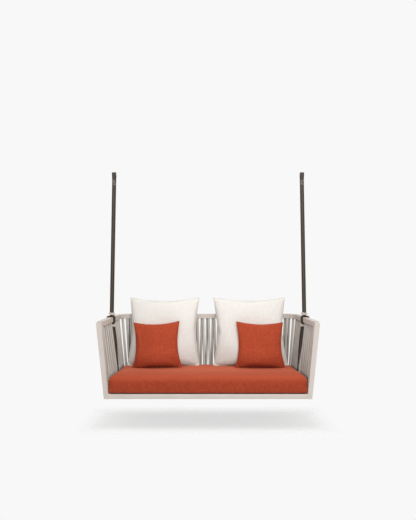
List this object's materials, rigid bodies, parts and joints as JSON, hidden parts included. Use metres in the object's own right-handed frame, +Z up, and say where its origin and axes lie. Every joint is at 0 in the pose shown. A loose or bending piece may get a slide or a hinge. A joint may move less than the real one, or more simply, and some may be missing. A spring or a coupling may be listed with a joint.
{
  "type": "swing bench",
  "caption": "Hanging swing bench: flared painted frame with walls of paired ropes, webbing seat deck, seat cushion and loose pillows, hung on flat straps with cord bindings.",
  "frame": {"origin": "middle of the hang line, the common axis of the bores of the two strap eyes", "axes": "+Z up, +X to the right as seen from the front, +Y towards the back of the bench"},
  "size_m": [1.6246, 0.7, 1.7196],
  "materials": {
    "frame_paint": "powder coated, matt",
    "rope": "twisted outdoor rope",
    "strap_leather": "woven belt, stitched",
    "binding_cord": "twisted cord",
    "steel": "satin",
    "webbing": "woven webbing",
    "keeper_plastic": "matt",
    "clamp_metal": "matt",
    "seat_fabric": "woven upholstery",
    "large_pillow_fabric": "woven upholstery",
    "small_pillow_fabric": "woven upholstery"
  },
  "bodies": {
    "hangers": {"left_thimble": "steel", "right_thimble": "steel"},
    "straps": {"left_strap": "strap_leather", "right_strap": "strap_leather"},
    "bench": {"top_rail": "frame_paint", "base_rail": "frame_paint", "base_front_rail": "frame_paint", "top_rail_rope_keeper": "keeper_plastic", "base_rail_rope_keeper": "keeper_plastic", "front_seat_ledge": "clamp_metal", "back_seat_ledge": "clamp_metal", "deck_cross_webs": "webbing", "deck_long_webs": "webbing", "deck_screws": "steel", "back_ropes_inner": "rope", "back_ropes_outer": "rope", "seat_cushion": "seat_fabric", "left_front_post": "frame_paint", "left_back_post": "frame_paint", "left_seat_ledge": "clamp_metal", "left_arm_ropes_inner": "rope", "left_arm_ropes_outer": "rope", "left_corner_ropes_inner": "rope", "left_corner_ropes_outer": "rope", "left_large_pillow": "large_pillow_fabric", "left_small_pillow": "small_pillow_fabric", "left_strap_sling": "strap_leather", "left_strap_tail": "strap_leather", "left_upper_binding": "binding_cord", "left_lower_binding": "binding_cord", "left_clamp_blocks": "clamp_metal", "left_clamp_bolt": "steel", "right_front_post": "frame_paint", "right_back_post": "frame_paint", "right_seat_ledge": "clamp_metal", "right_arm_ropes_inner": "rope", "right_arm_ropes_outer": "rope", "right_corner_ropes_inner": "rope", "right_corner_ropes_outer": "rope", "right_large_pillow": "large_pillow_fabric", "right_small_pillow": "small_pillow_fabric", "right_strap_sling": "strap_leather", "right_strap_tail": "strap_leather", "right_upper_binding": "binding_cord", "right_lower_binding": "binding_cord", "right_clamp_blocks": "clamp_metal", "right_clamp_bolt": "steel"}
  },
  "joints": [
    {"name": "swing", "type": "hinge", "parent": "hangers", "child": "straps", "pos_m": [0, 0, 0], "axis": [1, 0, 0], "range_deg": [-25, 25]},
    {"name": "bench_tilt", "type": "hinge", "parent": "straps", "child": "bench", "pos_m": [0, 0, -1.10523], "axis": [1, 0, 0], "range_deg": [-12, 12]}
  ]
}
